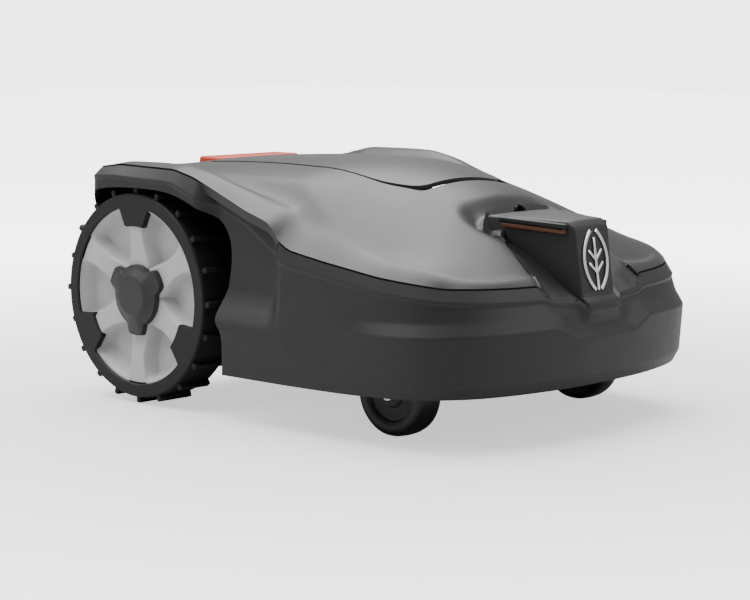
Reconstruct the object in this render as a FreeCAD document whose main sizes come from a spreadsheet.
"""Robotic lawn mower: a floating two-part hull over a driven chassis with casters and a cutting disc.

Frame: millimetres, +Z up, the nose faces -Y, the origin is on the ground under the centre of the box.
"""
import FreeCAD, Part
import math
import os
import re

import Sketcher

Vector = FreeCAD.Vector
Rotation = FreeCAD.Rotation
SIDES = {"left": -1, "right": 1}

DIMENSIONS = {
    # hull
    "wall": 3, "skirt_bottom": 46, "hull_top": 252, "hull_half": 207, "hull_rear": 238, "shut_gap": 0.8,
    # hatch, stop bar and the opening under them
    "hatch_half": 84, "hatch_front": -98, "hatch_rear": 187, "bay_half": 86, "bay_front": -114,
    "hinge_y": -88, "hinge_z": 222, "pin_r": 2, "run_gap": 0.05, "stop_half": 58, "stop_front": 192.5,
    "stop_deep": 39, "stop_top": 247, "stop_base": 233,
    # driven rear wheels
    "axle_y": 172, "wheel_r": 112, "tread_r": 106, "rim_r": 96, "wheel_face": 201, "tyre_wide": 45,
    "lug_wide": 6, "lug_count": 20, "shaft_r": 5, "gear_r": 30, "motor_r": 19, "hub_r": 23,
    # casters
    "caster_x": 140, "caster_y": -153, "trail": 10, "caster_r": 43, "caster_rim_r": 31, "caster_wide": 30,
    "stem_r": 6, "bush_r": 9, "caster_pin_r": 4, "bracket_top": 97,
    # chassis
    "floor_z": 62, "rim_z": 128, "tub_half": 120, "tub_front": -96, "tub_rear": 228, "tongue_half": 78,
    "tongue_front": -212, "wing_half": 172, "wing_front": -196, "wing_rear": -112, "wing_z": 101,
    "skin": 3.5, "seal_deep": 1.5, "lid_deep": 4.5,
    # cutting unit
    "cut_y": 10, "well_r": 46, "carriage_r": 44.5, "cut_motor_r": 22, "rod_r": 3, "screw_r": 4,
    "screw_out": 33, "disc_r": 82, "disc_z": 38, "disc_deep": 3, "pivot_out": 76, "pivot_r": 2.5,
    "blade_long": 36, "blade_wide": 18, "blade_deep": 0.8, "skid_r": 68, "skid_z": 29,
    # console
    "console_half": 68, "console_front": -84, "console_rear": 110, "console_top": 200, "knob_r": 22,
    "key_wide": 20, "key_long": 13, "key_gap": 0.4, "key_y": -20, "key_step": 36,
    # floating mount
    "ring_half": 104, "ring_hole": 78, "ring_front": -108, "ring_rear": 130, "ring_bar": 12, "ring_deep": 3,
    "frame_z": 136, "cross_z": 141, "peg_r": 5, "peg_x": 95, "peg_front": -70, "peg_rear": 108,
}

doc = FreeCAD.newDocument("mower")
sheet = doc.addObject("Spreadsheet::Sheet", "Dims")
for row, (alias, number) in enumerate(DIMENSIONS.items(), start=1):
    sheet.set(f"A{row}", str(number))
    sheet.setAlias(f"A{row}", alias)
doc.recompute()
subparts = []


def bound(text):
    """An expression in which every dimension's name points at its cell of the sheet."""
    return re.sub(r"[a-z][a-z_0-9]*", lambda m: f"Dims.{m[0]}" if m[0] in DIMENSIONS else m[0], str(text))


def value(text):
    """The number that an expression on the sheet's dimensions has now."""
    number = sheet.evalExpression(bound(text))
    return float(getattr(number, "Value", number))


def bind(obj, **properties):
    """Bind properties of an object to expressions; a double underscore stands for a dot."""
    for name, text in properties.items():
        obj.setExpression(name.replace("__", "."), bound(text))


def put(obj, at, turn=None):
    """Place an object at three expressions, with an optional rotation."""
    if turn is not None:
        obj.Placement = FreeCAD.Placement(Vector(), turn)
    for axis, text in zip("xyz", at):
        obj.setExpression(f"Placement.Base.{axis}", bound(text))
    return obj


def keep(label, obj):
    """Name a finished sub-part."""
    obj.Label = label
    subparts.append(obj)
    return obj


def block(name, x, y, z):
    """A box between pairs of expressions on each axis."""
    box = doc.addObject("Part::Box", name)
    spans = [f"({high}) - ({low})" for low, high in (x, y, z)]
    bind(box, Length=spans[0], Width=spans[1], Height=spans[2])
    return put(box, (x[0], y[0], z[0]))


def rod(name, radius, length, at, axis="z"):
    """A cylinder that starts at a point and runs along an axis."""
    turns = {"x": Rotation(Vector(0, 1, 0), 90), "y": Rotation(Vector(1, 0, 0), -90), "z": None}
    cylinder = doc.addObject("Part::Cylinder", name)
    bind(cylinder, Radius=radius, Height=length)
    return put(cylinder, at, turns[axis])


def joined(name, *parts):
    fuse = doc.addObject("Part::MultiFuse", name)
    fuse.Shapes = list(parts)
    return fuse


def less(name, base, *tools):
    cut = doc.addObject("Part::Cut", name)
    cut.Base = base
    cut.Tool = tools[0] if len(tools) == 1 else joined(name + "_tools", *tools)
    return cut


def shared(name, *parts):
    common = doc.addObject("Part::MultiCommon", name)
    common.Shapes = list(parts)
    return common


def polygon(name, points):
    line = doc.addObject("Part::Polygon", name)
    line.Nodes = points
    line.Close = True
    return line


def prism(name, points, along, start, length):
    """Points on a flat outline, extruded along an axis from a start."""
    place = {"x": lambda u, v: Vector(start, u, v), "z": lambda u, v: Vector(u, v, start)}[along]
    extrusion = doc.addObject("Part::Extrusion", name)
    extrusion.Base = polygon(name + "_outline", [place(u, v) for u, v in points])
    extrusion.Dir = Vector(1, 0, 0) if along == "x" else Vector(0, 0, 1)
    extrusion.LengthFwd = length
    extrusion.Solid = True
    return extrusion


def sketch_in(body, role, points, lift=None):
    """A closed outline of bound corners on one of a body's own planes."""
    sketch = body.newObject("Sketcher::SketchObject", body.Name + "_outline")
    plane = next(f for f in body.Origin.OriginFeatures if f.Role == role)
    sketch.AttachmentSupport = [(plane, "")]
    sketch.MapMode = "FlatFace"
    if lift is not None:
        bind(sketch, AttachmentOffset__Base__z=lift)
    corners = [Vector(value(u), value(v), 0) for u, v in points]
    for index, corner in enumerate(corners):
        sketch.addGeometry(Part.LineSegment(corner, corners[(index + 1) % len(corners)]), False)
    for index in range(len(corners)):
        following = (index + 1) % len(corners)
        sketch.addConstraint(Sketcher.Constraint("Coincident", index, 2, following, 1))
    for index, (corner, texts) in enumerate(zip(corners, points)):
        for kind, number, text in (("DistanceX", corner.x, texts[0]), ("DistanceY", corner.y, texts[1])):
            which = sketch.addConstraint(Sketcher.Constraint(kind, -1, 1, index, 1, number))
            sketch.setExpression(f"Constraints[{which}]", bound(text))
    return sketch


def new_body(name):
    return doc.addObject("PartDesign::Body", name)


def turned(name, points, axis, at=("0", "0", "0")):
    """A body turned from (along, radius) points for axis x, or (radius, height) points for axis z."""
    body = new_body(name)
    sketch = sketch_in(body, "XZ_Plane", points)
    turn = body.newObject("PartDesign::Revolution", name + "_turn")
    turn.Profile = sketch
    turn.ReferenceAxis = (sketch, ["H_Axis" if axis == "x" else "V_Axis"])
    turn.Angle = 360
    return put(body, at)


def padded(name, points, low, height, at=("0", "0", "0")):
    """A body padded upwards from an outline seen from above."""
    body = new_body(name)
    pad = body.newObject("PartDesign::Pad", name + "_pad")
    pad.Profile = sketch_in(body, "XY_Plane", points, low)
    bind(pad, Length=height)
    return put(body, at)


def ring_of(name, count, radius, centre, make):
    """Copies of a small solid about a vertical centre line, from a function of name and place."""
    copies = []
    for index in range(count):
        angle = math.radians(360 / count * index + 90)
        x = centre[0] + radius * math.cos(angle)
        y = centre[1] + radius * math.sin(angle)
        copies.append(make(f"{name}_{index + 1}", x, y))
    return copies


# ---------------------------------------------------------------- hull
# Half sections of the hull at stations along Y: (y, corners as (x, z) from the crown to the skirt).
STATIONS = [
    (240, [(0, 240), (120, 238), (176, 240), (203, 226), (205, 180), (205, 110), (200, 46)]),
    (190, [(0, 247), (130, 243), (178, 248), (205, 232), (207, 190), (207, 110), (204, 46)]),
    (100, [(0, 251), (148, 244), (178, 247), (205, 226), (207, 190), (207, 100), (207, 46)]),
    (50, [(0, 252), (150, 242), (182, 235), (204, 216), (206, 170), (206, 96), (207, 46)]),
    (25, [(0, 252), (150, 240), (180, 226), (202, 205), (194, 134), (204, 94), (207, 46)]),
    (-26, [(0, 251), (146, 236), (172, 205), (202, 188), (198, 132), (205, 94), (207, 46)]),
    (-50, [(0, 250), (134, 222), (166, 194), (203, 168), (206, 128), (207, 96), (207, 46)]),
    (-121, [(0, 240), (110, 213), (168, 180), (201, 156), (207, 118), (207, 100), (207, 46)]),
    (-200, [(0, 220), (90, 196), (150, 172), (200, 148), (207, 118), (207, 100), (205, 46)]),
    (-262, [(0, 180), (60, 174), (120, 160), (180, 145), (200, 118), (200, 100), (196, 46)]),
    (-300, [(0, 120), (60, 118), (120, 116), (180, 112), (195, 104), (198, 90), (190, 46)]),
]
# The bumper's outline seen from above, right half, from the nose to the tail.
PLANFORM = [(0, -284), (71, -279), (150, -254), (186, -230), (201, -206), (207, -170), (207.5, -30),
            (207, 190), (203, 232), (190, 238), (0, 238)]
# The shut line between the top cover and the body shell, seen from the side, from nose to tail.
SHUT_LINE = [(-300, 148), (-250, 148), (-172, 157), (-103, 167.6), (-60, 174.5), (-43, 183), (-30, 198),
             (0, 208.5), (35, 222.5), (75, 237), (104, 243), (300, 243)]
# The wheel arch seen from the side, from its front foot round to the rear.
ARCH = [(31, 0), (34.5, 90), (23, 140), (23, 165), (39, 191), (84.5, 213.5), (135, 223), (300, 223),
        (300, 0)]
COVER_HALF = 188
CUT_OUT = [(-54, -166), (54, -166), (80, -262), (92, -310), (-92, -310), (-80, -262)]


def mirrored(half):
    """A closed outline from its right half, which starts and ends near the centre plane."""
    return half + [(-u, v) for u, v in reversed(half) if u > 0]


def hull(name, inset):
    """The hull's solid form, or its inside when inset is the wall."""
    sections = []
    for index, (y, corners) in enumerate(STATIONS):
        shifted = y - inset if index == 0 else y
        half = [(max(x - inset, 0), z - (inset if z > 46 else 10 if inset else 0)) for x, z in corners]
        outline = [Vector(x, shifted, z) for x, z in mirrored(half)]
        sections.append(polygon(f"{name}_station_{index + 1}", outline))
    loft = doc.addObject("Part::Loft", name + "_loft")
    loft.Sections = sections
    loft.Solid = True
    loft.Ruled = True
    outline = polygon(name + "_plan", [Vector(x, y, 0) for x, y in mirrored(PLANFORM)])
    if inset:
        offset = doc.addObject("Part::Offset2D", name + "_plan_inset")
        offset.Source = outline
        bind(offset, Value="-wall")
        offset.Join = 2
        outline = offset
    plan = doc.addObject("Part::Extrusion", name + "_prism")
    plan.Base = outline
    plan.Dir = Vector(0, 0, 1)
    plan.LengthFwd = 300
    plan.Solid = True
    return shared(name, loft, plan)


def shut_region(name, clearance):
    """Everything above the shut line, moved up by a clearance, with the flat top between the fenders."""
    raised = [(y, z + clearance) for y, z in SHUT_LINE] + [(300, 320), (-300, 320)]
    above = prism(name + "_above", raised, "x", -250, 500)
    reach = COVER_HALF - clearance
    top = block(name + "_top", (-reach, reach), (f"30 + {clearance}", f"226 - {clearance}"),
                (f"225 + {clearance}", 320))
    return joined(name, above, top)


outer_hull = hull("hull_outside", 0)
inner_hull = hull("hull_inside", value("wall"))
hull_skin = less("hull_skin", outer_hull, inner_hull)
cover_blank = shared("cover_blank", hull_skin, shut_region("cover_region", value("shut_gap")))
bay_cut = block("bay_cut", ("-bay_half", "bay_half"), ("bay_front", "hatch_rear + 1.5"), (150, 320))
stop_cut = block("stop_cut", ("-stop_half - 1", "stop_half + 1"),
                 ("stop_front - 1", "stop_front + stop_deep + 1"), (150, 320))
nose_cut = prism("nose_cut", CUT_OUT, "z", 90, 200)
lug_front = block("lug_front", (-62, 62), ("hinge_y - 12", "hinge_y + 5"), ("hinge_z - 14", "hinge_z + 4"))
lug_gap = block("lug_gap", (-56, 56), ("hinge_y - 14", "hinge_y + 8"), ("hinge_z - 16", "hinge_z + 8"))
lug_base = block("lug_base", (-62, 62), ("bay_front - 8", "hinge_y - 8"), ("hinge_z - 16", "hinge_z - 11"))
lug_wall = block("lug_wall", (-62, 62), ("bay_front - 8", "bay_front - 1"), ("hinge_z - 16", 240))
pin_hole = rod("pin_hole", "pin_r", 140, (-70, "hinge_y", "hinge_z"), "x")
hinge_lugs = shared("hinge_lugs", joined("lug_form", less("lugs", lug_front, lug_gap), lug_base, lug_wall),
                    outer_hull)
tubes = []
tube_bores = []
for side, sign in SIDES.items():
    for end in ("front", "rear"):
        spot = (f"{sign} * peg_x", f"peg_{end}")
        tubes.append(rod(f"tube_{side}_{end}", "peg_r + 2.6", 120, (*spot, 160)))
        tube_bores.append(rod(f"tube_bore_{side}_{end}", "peg_r + run_gap", 52, (*spot, 159)))
sockets = less("sockets", shared("tube_tops", joined("tubes", *tubes), outer_hull), *tube_bores)
cover_open = less("cover_open", joined("cover_socketed", cover_blank, sockets), bay_cut, stop_cut, nose_cut)
keep("top_cover", less("cover_pinned", joined("cover_with_lugs", cover_open, hinge_lugs), pin_hole))

arches = [prism(f"arch_{side}", ARCH, "x", 150 if sign > 0 else -250, 100) for side, sign in SIDES.items()]
body_blank = less("body_blank", hull_skin, shut_region("body_region", 0), *arches, stop_cut)
nose_cut_body = prism("nose_cut_body", [(x * 0.97, y) for x, y in CUT_OUT], "z", 122, 200)
keep("body_shell", less("body_open", body_blank, nose_cut_body))

# The cowl stands through the cover's cut-out on a pair of hollow cheeks.
COWL_SIDE = [(-173, 150), (-173, 209), (-261, 202), (-271, 130), (-279, 122), (-279, 113), (-265, 113),
             (-258, 150)]
COWL_PLAN = [(-50, -174), (50, -174), (26, -263), (26, -281), (-26, -281), (-26, -263)]
CHEEK_SIDE = [(-178, 143), (-178, 184), (-250, 145), (-260, 124), (-256, 124), (-246, 139)]
CHEEK_PLAN = [(-51, -177), (51, -177), (73, -268), (-73, -268)]
cowl_block = shared("cowl_block", prism("cowl_side", COWL_SIDE, "x", -60, 120),
                    prism("cowl_plan", COWL_PLAN, "z", 100, 120))
cheek_block = shared("cheek_block", prism("cheek_side", CHEEK_SIDE, "x", -90, 180),
                     prism("cheek_plan", CHEEK_PLAN, "z", 100, 120))
cowl_hollow = block("cowl_hollow", (-20, 20), (-250, -180), (130, 196))
badge_seat = block("badge_seat", (-19, 19), (-300, -264), (130, 192))
LAMP_LONG = 66


def lamp_bar(name, sign, length, deep, low, high, out):
    """A bar along one flank of the cowl, between two heights, standing out from the flank."""
    flank = Vector(-sign * 19, -68, 0).normalize()
    outward = Vector(-sign * flank.y, -abs(flank.x), 0)
    bar = doc.addObject("Part::Box", name)
    bar.Length, bar.Width, bar.Height = length, deep, high - low
    corner = Vector(sign * 46.2, -190, low) + outward * (out if sign < 0 else out - deep)
    turn = Rotation(Vector(0, 0, 1), math.degrees(math.atan2(flank.y, flank.x)))
    bar.Placement = FreeCAD.Placement(corner, turn)
    return bar


keep("nose_cowl", less("cowl_cut", joined("cowl_form", cowl_block, cheek_block), cowl_hollow, badge_seat))
for side, sign in SIDES.items():
    keep(f"lamp_lens_{side}", lamp_bar(f"lens_{side}", sign, LAMP_LONG, 5, 198.2, 202.5, 5.2))
    keep(f"lamp_strip_{side}", lamp_bar(f"strip_{side}", sign, LAMP_LONG - 4, 4.3, 194, 198, 4.5))
keep("nose_badge", block("badge", (-17, 17), (-267.5, -264.2), (132, 190)))

# ---------------------------------------------------------------- hatch and stop bar
hatch_box = block("hatch_box", ("-hatch_half", "hatch_half"), ("hatch_front", "hatch_rear"), (200, 300))
knuckles = []
for side, sign in SIDES.items():
    low, high = (40, 54) if sign > 0 else (-54, -40)
    knuckles.append(block(f"knuckle_{side}", (low, high), ("hinge_y - 4", "hinge_y + 6"),
                          ("hinge_z - 5", "hinge_z + 15")))
knuckle_pair = shared("knuckle_pair", joined("knuckle_blocks", *knuckles), outer_hull)
knuckle_bore = rod("knuckle_bore", "pin_r + run_gap", 120, (-60, "hinge_y", "hinge_z"), "x")
hatch_skin = shared("hatch_skin", hull_skin, hatch_box)
lug_notches = [block(f"lug_notch_{side}", sorted((sign * 55.4, sign * 62.6)), ("hatch_front - 1", "hinge_y + 6"),
                     (200, 300)) for side, sign in SIDES.items()]
keep("hatch", less("hatch_bored", joined("hatch_form", hatch_skin, knuckle_pair), knuckle_bore, *lug_notches))
keep("hatch_hinge_pin", rod("hinge_pin", "pin_r", 124, (-62, "hinge_y", "hinge_z"), "x"))
STOP_PLAN = [("-stop_half", "stop_front"), ("stop_half", "stop_front"),
             ("stop_half", "stop_front + stop_deep"), ("-stop_half", "stop_front + stop_deep")]
keep("stop_button", padded("stop_bar", STOP_PLAN, "stop_base", "stop_top - stop_base"))
keep("hatch_latch", block("latch", (-9, 9), ("hatch_rear - 7", "hatch_rear + 1"), (232, 236)))

# ---------------------------------------------------------------- floating mount
def slide_ring(name, low, half, hole, front, rear, bar):
    """A flat rectangular ring."""
    outside = block(name + "_out", (f"-({half})", half), (front, rear), (low, f"{low} + ring_deep"))
    inside = block(name + "_in", (f"-({hole})", hole), (f"({front}) + ({bar})", f"({rear}) - ({bar})"),
                   (f"{low} - 1", f"{low} + ring_deep + 1"))
    return less(name, outside, inside)


keep("float_frame", slide_ring("frame_ring", "frame_z", "ring_half", "ring_hole", "ring_front",
                               "ring_rear", "ring_bar"))
pegs = []
for side, sign in SIDES.items():
    for end in ("front", "rear"):
        spot = (f"{sign} * peg_x", f"peg_{end}")
        pegs.append(rod(f"peg_{side}_{end}", "peg_r", 60, (*spot, "cross_z + 1")))
keep("float_crosshead", joined("cross_form", slide_ring("cross_ring", "cross_z", "ring_half", "ring_hole",
                                                        "ring_front", "ring_rear", "ring_bar"), *pegs))

# ---------------------------------------------------------------- chassis
ROOMS = {
    "tub": (("-tub_half", "tub_half"), ("tub_front", "tub_rear"), "floor_z"),
    "tongue": (("-tongue_half", "tongue_half"), ("tongue_front", "tub_front + 20"), "floor_z"),
    "wing": (("-wing_half", "wing_half"), ("wing_front", "wing_rear"), "wing_z"),
}


def chassis_form(name, inset, low, high):
    """The chassis's three rooms as one block, drawn in by an inset, between two heights."""
    rooms = []
    for room, ((left, right), (front, rear), floor) in ROOMS.items():
        base = floor if low is None else low
        rooms.append(block(f"{name}_{room}", (f"{left} + {inset}", f"{right} - {inset}"),
                           (f"{front} + {inset}", f"{rear} - {inset}"), (f"{base} + {inset}", high)))
    return joined(name, *rooms)


def flat_form(name, inset, low, high):
    rooms = []
    for room, ((left, right), (front, rear), floor) in ROOMS.items():
        rooms.append(block(f"{name}_{room}", (f"{left} + {inset}", f"{right} - {inset}"),
                           (f"{front} + {inset}", f"{rear} - {inset}"), (low, high)))
    return joined(name, *rooms)


CUT = ("0", "cut_y")
well_wall = rod("well_wall", "well_r + skin", "rim_z - floor_z - 1", (*CUT, "floor_z"))
tub = joined("tub_form", less("tub_shell", chassis_form("tub_outside", 0, None, "rim_z"),
                              chassis_form("tub_inside", "skin", None, "rim_z + 5")), well_wall)
well = rod("well", "well_r", 100, (*CUT, "floor_z - 5"))
battery_hole = block("battery_hole", (-42, 42), (-184, -76), (50, 80))
gear_holes = [rod(f"gear_hole_{side}", "gear_r + 0.5", 60, (sign * 130 - 30, "axle_y", "wheel_r"), "x")
              for side, sign in SIDES.items()]
gear_slots = [block(f"gear_slot_{side}", (sign * 120 - 10, sign * 120 + 10),
                    ("axle_y - gear_r - 0.5", "axle_y + gear_r + 0.5"), ("wheel_r", 150))
              for side, sign in SIDES.items()]
bush_holes = [rod(f"bush_hole_{side}", "bush_r", 20, (f"{sign} * caster_x", "caster_y", "wing_z - 8"))
              for side, sign in SIDES.items()]
keep("chassis_base", less("tub_cut", tub, well, battery_hole, *gear_holes, *gear_slots, *bush_holes))
LID_LOW = "rim_z + seal_deep"
lid = flat_form("lid_plate", 0, LID_LOW, f"{LID_LOW} + lid_deep")
rails = [block(f"rail_{side}", (sign * 107.5 - 2.5, sign * 107.5 + 2.5), (-80, 130),
               (f"{LID_LOW} + 1", "frame_z + ring_deep - 1")) for side, sign in SIDES.items()]
gear_humps = [block(f"hump_{side}", (sign * 110 - 12, sign * 110 + 10),
                    ("axle_y - gear_r - 4", "axle_y + gear_r + 4"), (LID_LOW, "wheel_r + gear_r + 4"))
              for side, sign in SIDES.items()]
gear_room = [rod(f"gear_room_{side}", "gear_r + 0.8", 64, (sign * 122 - 32, "axle_y", "wheel_r"), "x")
             for side, sign in SIDES.items()]
keep("chassis_gasket", less("seal", flat_form("seal_outside", 0, "rim_z", LID_LOW),
                            flat_form("seal_inside", "skin", "rim_z - 1", f"{LID_LOW} + 1"), *gear_room))
spindle_hole = rod("lid_spindle_hole", "screw_r + run_gap", 30, ("0", "cut_y + screw_out", 120))
keep("chassis_lid", less("lid_cut", joined("lid_form", lid, *rails, *gear_humps), spindle_hole,
                         *gear_room))
keep("battery_pack", block("battery", (-40, 40), (-182, -78), (64, 102)))
keep("battery_cover", block("battery_lid", (-48, 48), (-190, -70), ("floor_z - 3", "floor_z")))
board = block("board", (-52, 52), (-196, -76), (106, 108))
chips = [block(f"chip_{index}", (x, x + 18), (y, y + 18), (107.5, 114))
         for index, (x, y) in enumerate([(-40, -180), (5, -175), (-30, -120), (15, -115)])]
keep("main_board", joined("board_form", board, *chips))
keep("loop_sensor", rod("coil", 6, 60, (-30, -200, 84), "x"))
keep("charge_contacts", joined("contacts", *[block(f"contact_{side}", (sign * 34 - 8, sign * 34 + 8),
     ("tongue_front - 2", "tongue_front"), (70, 98)) for side, sign in SIDES.items()]))
for side, sign in SIDES.items():
    gear = rod(f"gearbox_{side}", "gear_r", 44, (f"{sign} * 127 - 22", "axle_y", "wheel_r"), "x")
    can = rod(f"can_{side}", "motor_r", 56, (f"{sign} * 79 - 28", "axle_y", "wheel_r - 6"), "x")
    bore = rod(f"gear_bore_{side}", "shaft_r + run_gap", 30, (f"{sign} * 140 - 15", "axle_y", "wheel_r"), "x")
    keep(f"drive_motor_{side}", less(f"drive_{side}", joined(f"drive_form_{side}", gear, can), bore))
keep("caster_bushes", joined("bushes", *[turned(f"bush_{side}",
     [("stem_r + run_gap", "wing_z"), ("bush_r", "wing_z"), ("bush_r", "wing_z + 16"),
      ("stem_r + run_gap", "wing_z + 16")], "z", (f"{sign} * caster_x", "caster_y", "0"))
     for side, sign in SIDES.items()]))
rod_spots = [(28.6, -16.5), (-28.6, -16.5)]
keep("guide_rods", joined("rods", *[rod(f"guide_{index}", "rod_r", f"{LID_LOW} - floor_z - 2",
     (x, f"cut_y + {y}", "floor_z + 2")) for index, (x, y) in enumerate(rod_spots)]))
screw_spots = [(x, y) for x in (-115, 115) for y in (-60, 40, 120)] + [(x, -186) for x in (-66, 66)]
keep("lid_screws", joined("screws", *[rod(f"lid_screw_{index}", 3.5, 2, (x, y, f"{LID_LOW} + lid_deep"))
     for index, (x, y) in enumerate(screw_spots)]))

# ---------------------------------------------------------------- console
CONSOLE = (("-console_half", "console_half"), ("console_front", "console_rear"))
console_out = block("console_out", *CONSOLE, (f"{LID_LOW} + lid_deep", "console_top"))
console_in = block("console_in", ("-console_half + skin", "console_half - skin"),
                   ("console_front + skin", "console_rear - skin"), (100, "console_top - skin"))
console_hole = rod("console_hole", "screw_r + run_gap", 30, ("0", "cut_y + screw_out", "console_top - 20"))
keep("console_housing", less("console", console_out, console_in, console_hole))
keep("display_module", block("display", (-42, 42), (-78, -42), ("console_top", "console_top + 3.5")))
keep("display_window", block("window", (-44, 44), (-80, -40), ("console_top + 3.5", "console_top + 5")))
frame_plate = block("key_plate", (-60, 60), ("key_y - 12", "key_y + 12"), ("console_top", "console_top + 3"))
key_names = ("key_power", "key_start", "key_home")
key_holes = []
for index, key in enumerate(key_names):
    x = f"{index - 1} * key_step"
    half = ("key_wide / 2", "key_long / 2")
    key_holes.append(block(f"{key}_hole", (f"{x} - {half[0]} - key_gap", f"{x} + {half[0]} + key_gap"),
                           (f"key_y - {half[1]} - key_gap", f"key_y + {half[1]} + key_gap"), (199, 210)))
    corners = [(f"{u} * {half[0]}", f"{v} * {half[1]}") for u, v in ((-1, -1), (1, -1), (1, 1), (-1, 1))]
    keep(key, padded(f"{key}_body", corners, "console_top + 1.4", 4, (x, "key_y", "0")))
keep("keypad_frame", less("key_frame", frame_plate, *key_holes))
knob_points = [("0", "console_top + 0.5"), ("knob_r", "console_top + 0.5"), ("knob_r - 1", "console_top + 10"),
               ("knob_r - 4", "console_top + 13"), ("0", "console_top + 13")]
keep("height_knob", turned("knob", knob_points, "z", ("0", "cut_y + screw_out", "0")))
keep("height_spindle", rod("spindle", "screw_r", "console_top + 0.5 - floor_z - 6",
                           ("0", "cut_y + screw_out", "floor_z + 6")))

# ---------------------------------------------------------------- cutting unit
carriage = rod("carriage_ring", "carriage_r", 14, (*CUT, 84))
carriage_holes = [rod("carriage_bore", "cut_motor_r", 30, (*CUT, 76)),
                  rod("carriage_nut", "screw_r + run_gap", 30, ("0", "cut_y + screw_out", 76))]
carriage_holes += [rod(f"carriage_slide_{index}", "rod_r + run_gap", 30, (x, f"cut_y + {y}", 76))
                   for index, (x, y) in enumerate(rod_spots)]
keep("motor_carriage", less("carriage", carriage, *carriage_holes))
keep("cut_motor", less("cut_drive", rod("cut_can", "cut_motor_r", 38, (*CUT, 74)),
                       rod("cut_bore", "rod_r + run_gap", 12, (*CUT, 73))))
disc_points = [("0", "skid_z - 1"), ("rod_r", "skid_z - 1"), ("rod_r", "disc_z"), ("disc_r", "disc_z"),
               ("disc_r", "disc_z + disc_deep"), ("12", "disc_z + disc_deep"), ("12", "73"),
               ("rod_r", "73"), ("rod_r", "84"), ("0", "84")]
pivot_holes = ring_of("pivot_hole", 3, value("pivot_out"), (0, value("cut_y")),
                      lambda name, x, y: rod(name, "pivot_r", 20, (x, y, "disc_z - 5")))
keep("blade_disc", less("disc", turned("disc_form", disc_points, "z", (*CUT, "0")), *pivot_holes))


def pivot_screw(name, x, y):
    shank = rod(name + "_shank", "pivot_r", "disc_deep + blade_deep + 0.6", (x, y, "disc_z - blade_deep - 0.6"))
    head = rod(name + "_head", "pivot_r + 2", 1.8, (x, y, "disc_z - blade_deep - 2.4"))
    return joined(name, shank, head)


keep("blade_screws", joined("pivot_screws", *ring_of("pivot_screw", 3, value("pivot_out"),
                                                     (0, value("cut_y")), pivot_screw)))
for index in range(3):
    turn = 120 * index + 90
    angle = math.radians(turn)
    reach = value("pivot_out")
    blade = block(f"blade_plate_{index + 1}", (-6, "blade_long - 6"), ("-blade_wide / 2", "blade_wide / 2"),
                  ("disc_z - blade_deep - 0.3", "disc_z - 0.3"))
    eye = rod(f"blade_eye_{index + 1}", "pivot_r + run_gap", 20, (0, 0, 30))
    cutter = less(f"cutter_{index + 1}", blade, eye)
    cutter.Placement = FreeCAD.Placement(
        Vector(reach * math.cos(angle), value("cut_y") + reach * math.sin(angle), 0),
        Rotation(Vector(0, 0, 1), turn))
    keep(f"blade_{index + 1}", cutter)
skid_points = [("rod_r + run_gap", "skid_z"), ("skid_r - 6", "skid_z"), ("skid_r", "skid_z + 2.5"),
               ("14", "skid_z + 2.5"), ("14", "skid_z + 6"), ("rod_r + run_gap", "skid_z + 6")]
keep("skid_plate", turned("skid", skid_points, "z", (*CUT, "0")))

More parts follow.
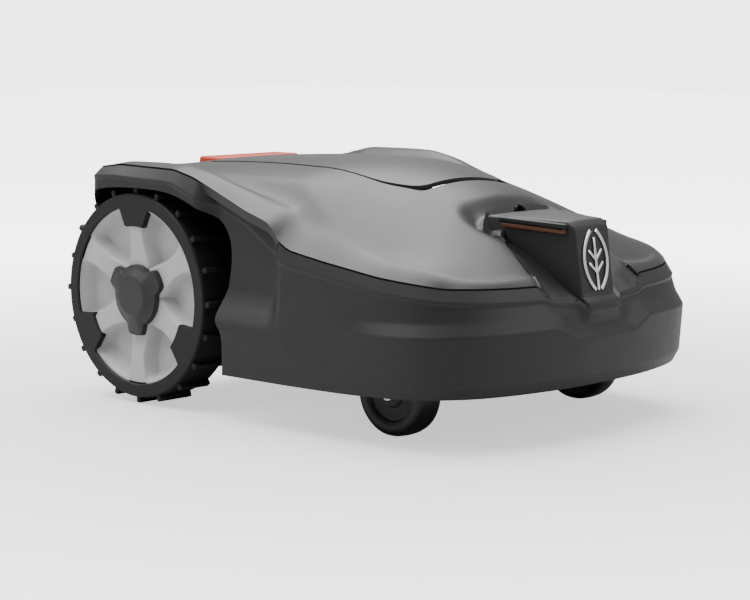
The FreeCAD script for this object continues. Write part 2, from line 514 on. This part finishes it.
# ---------------------------------------------------------------- driven wheels
for side, sign in SIDES.items():
    at = ("0", "axle_y", "wheel_r")
    face = f"{sign} * wheel_face"
    back = f"{sign} * (wheel_face - tyre_wide)"
    tyre = turned(f"tyre_body_{side}", [(face, "rim_r"), (face, "tread_r - 2"), (f"{sign} * (wheel_face - 2)",
                  "tread_r"), (back, "tread_r"), (back, "rim_r")], "x", at)
    edges = (back, f"{sign} * (wheel_face - 3)")
    lug = tyre.newObject("PartDesign::Pad", f"lug_{side}")
    lug.Profile = sketch_in(tyre, "XY_Plane", [(edges[0], "-lug_wide / 2"), (edges[1], "-lug_wide / 2"),
                            (edges[1], "lug_wide / 2"), (edges[0], "lug_wide / 2")], "tread_r - 3")
    bind(lug, Length="wheel_r - tread_r + 3")
    doc.recompute()
    lugs = tyre.newObject("PartDesign::PolarPattern", f"lugs_{side}")
    lugs.Originals = [lug]
    lugs.Axis = (next(f for f in tyre.Origin.OriginFeatures if f.Role == "X_Axis"), [""])
    lugs.Angle = 360
    bind(lugs, Occurrences="lug_count")
    tyre.Tip = lugs
    keep(f"tyre_{side}", tyre)
    rim_points = [("-3", "12"), ("-5", "30"), ("-15", "60"), ("-2", "88"), ("0", "rim_r"),
                  ("-tyre_wide", "rim_r"), ("-tyre_wide", "rim_r - 4"), ("-16", "84"), ("-22", "60"),
                  ("-16", "30"), ("-30", "20"), ("-30", "12")]
    keep(f"rim_{side}", turned(f"rim_body_{side}", [(f"{sign} * (wheel_face + ({u}))", v)
                               for u, v in rim_points], "x", at))
    dome = turned(f"cap_dome_{side}", [(f"{sign} * (wheel_face + {u})", v) for u, v in
                  (("-2", "0"), ("-2", "hub_r"), ("3", "hub_r"), ("6", "hub_r - 5"), ("6", "0"))], "x", at)
    lobes = []
    for index in range(3):
        lobe = doc.addObject("Part::Box", f"lobe_{side}_{index + 1}")
        lobe.Length, lobe.Width, lobe.Height = 5, 18, 36
        spin = Rotation(Vector(1, 0, 0), 120 * index + 180)
        x = value("wheel_face") - 2 if sign > 0 else -value("wheel_face") - 3
        lobe.Placement = FreeCAD.Placement(Vector(x, value("axle_y"), value("wheel_r"))
                                           + spin.multVec(Vector(0, -9, 0)), spin)
        lobes.append(lobe)
    seat = turned(f"cap_seat_{side}", [(f"{sign} * (wheel_face + {u})", v) for u, v in
                  (("-5", "0"), ("-5", "50"), ("-3", "50"), ("-2", "0"))], "x", at)
    keep(f"hub_cap_{side}", less(f"cap_{side}", joined(f"cap_form_{side}", dome, *lobes), seat))
    keep(f"wheel_hub_{side}", turned(f"hub_body_{side}", [(f"{sign} * {u}", v) for u, v in
                              (("126", "0"), ("126", "shaft_r"), ("156", "shaft_r"), ("156", "12"),
                               ("195", "12"), ("195", "0"))], "x", at))

# ---------------------------------------------------------------- casters
for side, sign in SIDES.items():
    stem = rod(f"stem_{side}", "stem_r", 24, (f"{sign} * caster_x", "caster_y", "bracket_top - 1"))
    inner = f"{sign} * (caster_x - caster_wide / 2 - 5)"
    plate = block(f"plate_{side}", tuple(sorted((sign * 117, sign * 150))), ("caster_y - 12", "caster_y + 20"),
                  ("bracket_top - 6", "bracket_top"))
    arm = block(f"arm_{side}", tuple(sorted((sign * 117, sign * 123))), ("caster_y + trail - 9",
                "caster_y + trail + 9"), ("caster_r - 9", "bracket_top - 3"))
    axle_y = "caster_y + trail"
    low = "117" if sign > 0 else "-159"
    pin_room = rod(f"pin_room_{side}", "caster_pin_r", 42, (low, axle_y, "caster_r"), "x")
    keep(f"caster_bracket_{side}", less(f"bracket_{side}", joined(f"fork_{side}", stem, plate, arm), pin_room))
    shaft = rod(f"pin_shaft_{side}", "caster_pin_r", 40, ("117" if sign > 0 else "-157", axle_y, "caster_r"), "x")
    head = rod(f"pin_head_{side}", "caster_pin_r + 3", 2, ("156" if sign > 0 else "-158", axle_y, "caster_r"),
               "x")
    keep(f"caster_axle_{side}", joined(f"axle_{side}", shaft, head))
    at = (f"{sign} * caster_x", axle_y, "caster_r")
    half = "caster_wide / 2"
    keep(f"caster_rim_{side}", turned(f"caster_rim_body_{side}", [
        (f"-{half} + 1", "caster_pin_r + run_gap"), (f"-{half} + 1", "12"), ("-6", "14"), ("-6", "26"),
        (f"-{half} + 3", "28"), (f"-{half} + 3", "caster_rim_r"), (f"{half} - 3", "caster_rim_r"),
        (f"{half} - 3", "28"), ("6", "26"), ("6", "14"), (f"{half} - 1", "12"),
        (f"{half} - 1", "caster_pin_r + run_gap")], "x", at))
    keep(f"caster_tyre_{side}", turned(f"caster_tyre_body_{side}", [
        (f"-{half} + 1", "caster_rim_r"), (f"-{half}", "caster_rim_r + 4"), (f"-{half} + 1", "caster_r - 4"),
        (f"-{half} + 5", "caster_r"), (f"{half} - 5", "caster_r"), (f"{half} - 1", "caster_r - 4"),
        (half, "caster_rim_r + 4"), (f"{half} - 1", "caster_rim_r")], "x", at))

# ---------------------------------------------------------------- checks and export
doc.recompute()
failed = [o.Name for o in doc.Objects if "Invalid" in o.State or "Error" in o.State]
if failed:
    raise SystemExit(f"objects failed: {failed}")
for obj in subparts:
    if obj.Shape.isNull() or not obj.Shape.isValid() or obj.Shape.Volume <= 0:
        raise SystemExit(f"{obj.Label} has no valid solid")
os.makedirs("parts", exist_ok=True)
for obj in subparts:
    obj.Shape.exportStep(f"parts/{obj.Label}.step")
    print(obj.Label, len(obj.Shape.Solids), round(obj.Shape.Volume / 1000, 2), "cm3")
print(len(subparts), "sub-parts")
